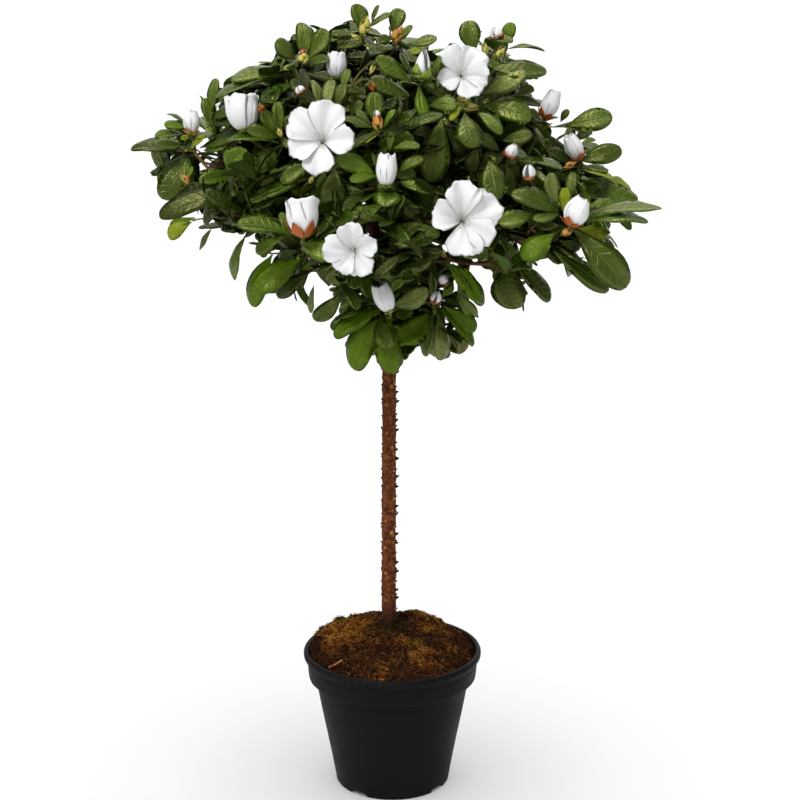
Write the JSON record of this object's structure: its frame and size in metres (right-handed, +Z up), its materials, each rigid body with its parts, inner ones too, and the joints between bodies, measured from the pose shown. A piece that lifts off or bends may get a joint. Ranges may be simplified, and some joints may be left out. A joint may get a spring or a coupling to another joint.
{
  "type": "potted azalea shrub",
  "caption": "Half-standard azalea: a domed head of evergreen leaves with white flowers and buds on a bare trunk, growing in a tapered round plastic nursery pot.",
  "frame": {"origin": "centre of the pot's flat underside, on the surface that the plant stands on", "axes": "+Z up along the trunk, +X to the viewer's right, -Y towards the viewer"},
  "size_m": [0.4221, 0.3809, 0.655],
  "materials": {
    "pot_plastic": "matte black moulded plastic",
    "soil": "moist fibrous peat with moss",
    "bark": "rough red-brown bark with leaf scars",
    "young_bark": "thin brown bark",
    "foliage": "glossy dark green leaves with white flowers"
  },
  "bodies": {
    "root": {"pot": "pot_plastic", "soil": "soil", "trunk": "bark", "bough_low_back": "young_bark", "bough_low_front": "young_bark", "bough_low_left": "young_bark", "bough_low_right": "young_bark", "bough_skirt_back_left": "young_bark", "bough_skirt_back_right": "young_bark", "bough_skirt_front": "young_bark", "bough_skirt_front_left": "young_bark", "bough_skirt_front_right": "young_bark", "bough_skirt_left": "young_bark", "bough_skirt_right": "young_bark", "bough_top": "young_bark", "bough_upper_back_left": "young_bark", "bough_upper_back_right": "young_bark", "bough_upper_front": "young_bark", "bough_upper_left": "young_bark", "bough_upper_right": "young_bark", "foliage_low_back": "foliage", "foliage_low_front": "foliage", "foliage_low_left": "foliage", "foliage_low_right": "foliage", "foliage_skirt_back_left": "foliage", "foliage_skirt_back_right": "foliage", "foliage_skirt_front": "foliage", "foliage_skirt_front_left": "foliage", "foliage_skirt_front_right": "foliage", "foliage_skirt_left": "foliage", "foliage_skirt_right": "foliage", "foliage_top": "foliage", "foliage_upper_back_left": "foliage", "foliage_upper_back_right": "foliage", "foliage_upper_front": "foliage", "foliage_upper_left": "foliage", "foliage_upper_right": "foliage"}
  },
  "joints": []
}
